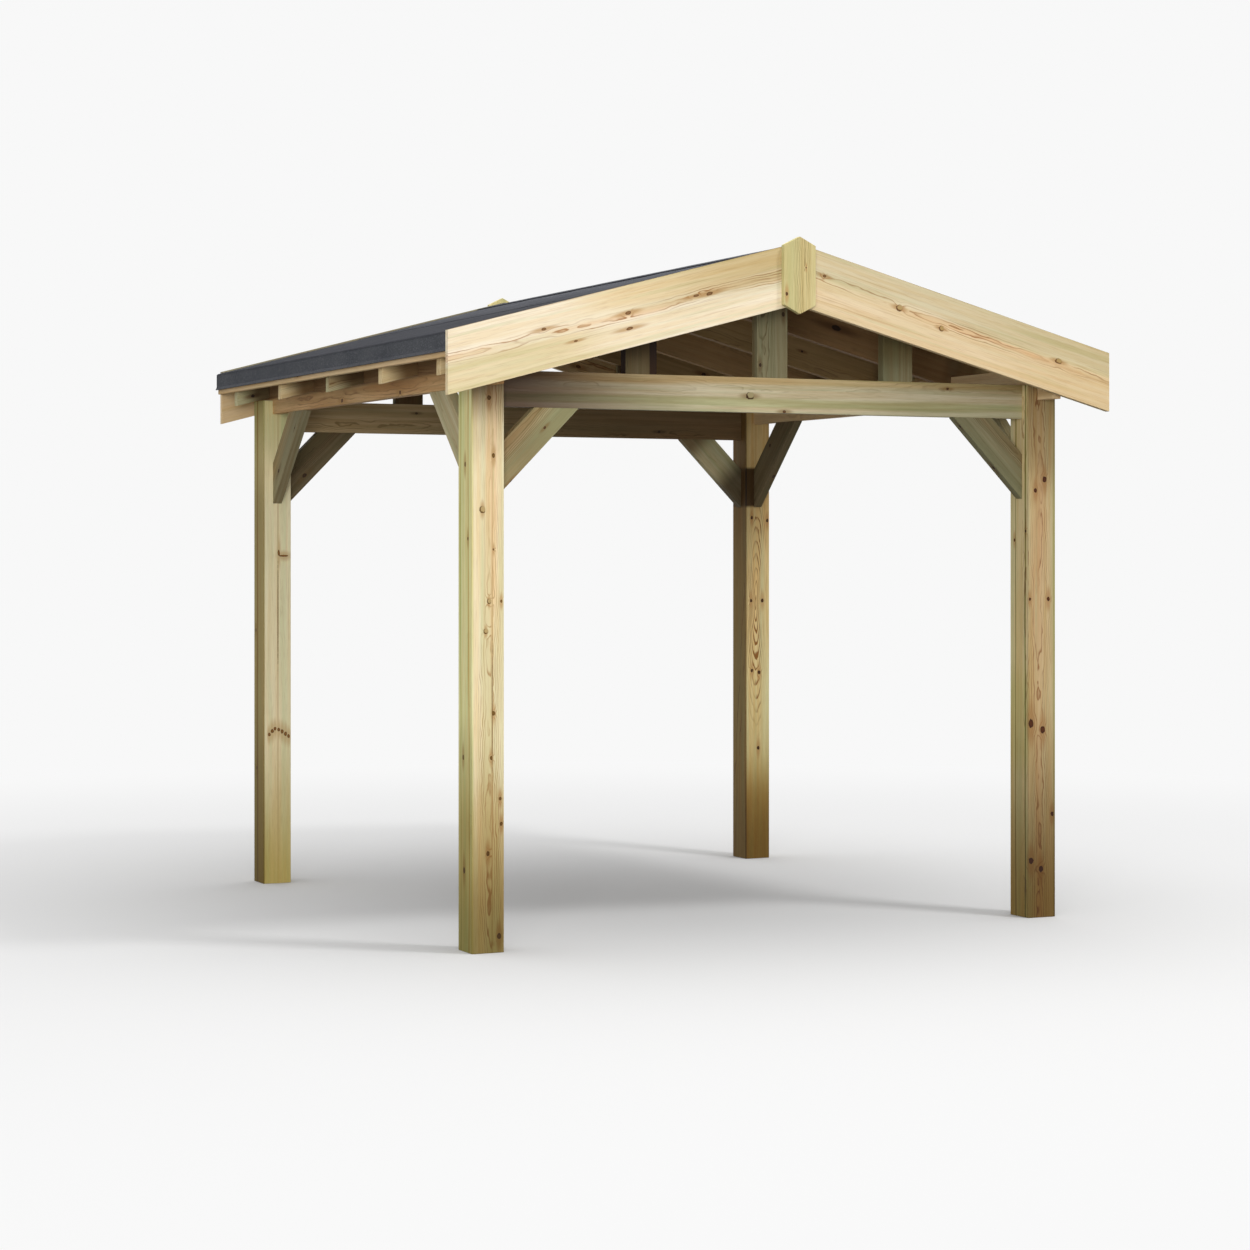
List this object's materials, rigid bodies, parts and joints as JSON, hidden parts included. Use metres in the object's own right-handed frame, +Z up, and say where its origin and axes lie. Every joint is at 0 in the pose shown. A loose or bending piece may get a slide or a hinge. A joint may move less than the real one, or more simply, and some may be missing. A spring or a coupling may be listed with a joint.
{
  "type": "garden gazebo",
  "caption": "Open timber garden gazebo with square posts, knee-braced beams, open king-post gables and a low felted gable roof with barge boards and finials",
  "frame": {"origin": "on the ground in the middle of the four posts, which is the bottom centre of the bounding box", "axes": "+X to the right across the gable front, +Y to the back, +Z up; the front gable faces -Y"},
  "size_m": [3.244, 3.22, 3.0178],
  "materials": {
    "frame_pine": "planed pressure-treated pine with a green-yellow tint and small knots",
    "roof_pine": "planed pressure-treated pine, browner, under the roof",
    "barge_pine": "planed pressure-treated pine, pale cream, with warm grain bands and knots",
    "roof_felt": "charcoal mineral roofing felt, matt"
  },
  "bodies": {
    "root": {"front_left_post": "frame_pine", "front_right_post": "frame_pine", "back_left_post": "frame_pine", "back_right_post": "frame_pine", "front_tie_beam": "frame_pine", "back_tie_beam": "frame_pine", "left_eaves_plate": "frame_pine", "right_eaves_plate": "frame_pine", "front_left_gable_brace": "frame_pine", "front_right_gable_brace": "frame_pine", "back_left_gable_brace": "frame_pine", "back_right_gable_brace": "frame_pine", "front_left_side_brace": "frame_pine", "front_right_side_brace": "frame_pine", "back_left_side_brace": "frame_pine", "back_right_side_brace": "frame_pine", "front_king_post": "frame_pine", "back_king_post": "frame_pine", "front_left_strut": "frame_pine", "front_right_strut": "frame_pine", "back_left_strut": "frame_pine", "back_right_strut": "frame_pine", "ridge_beam": "roof_pine", "left_rafter_1": "roof_pine", "left_rafter_2": "roof_pine", "left_rafter_3": "roof_pine", "left_rafter_4": "roof_pine", "left_rafter_5": "roof_pine", "right_rafter_1": "roof_pine", "right_rafter_2": "roof_pine", "right_rafter_3": "roof_pine", "right_rafter_4": "roof_pine", "right_rafter_5": "roof_pine", "left_roof_boards": "roof_pine", "right_roof_boards": "roof_pine", "left_fascia": "barge_pine", "right_fascia": "barge_pine", "left_roof_felt": "roof_felt", "right_roof_felt": "roof_felt", "front_left_barge_board": "barge_pine", "front_right_barge_board": "barge_pine", "back_left_barge_board": "barge_pine", "back_right_barge_board": "barge_pine", "front_finial": "barge_pine", "back_finial": "barge_pine"}
  },
  "joints": []
}
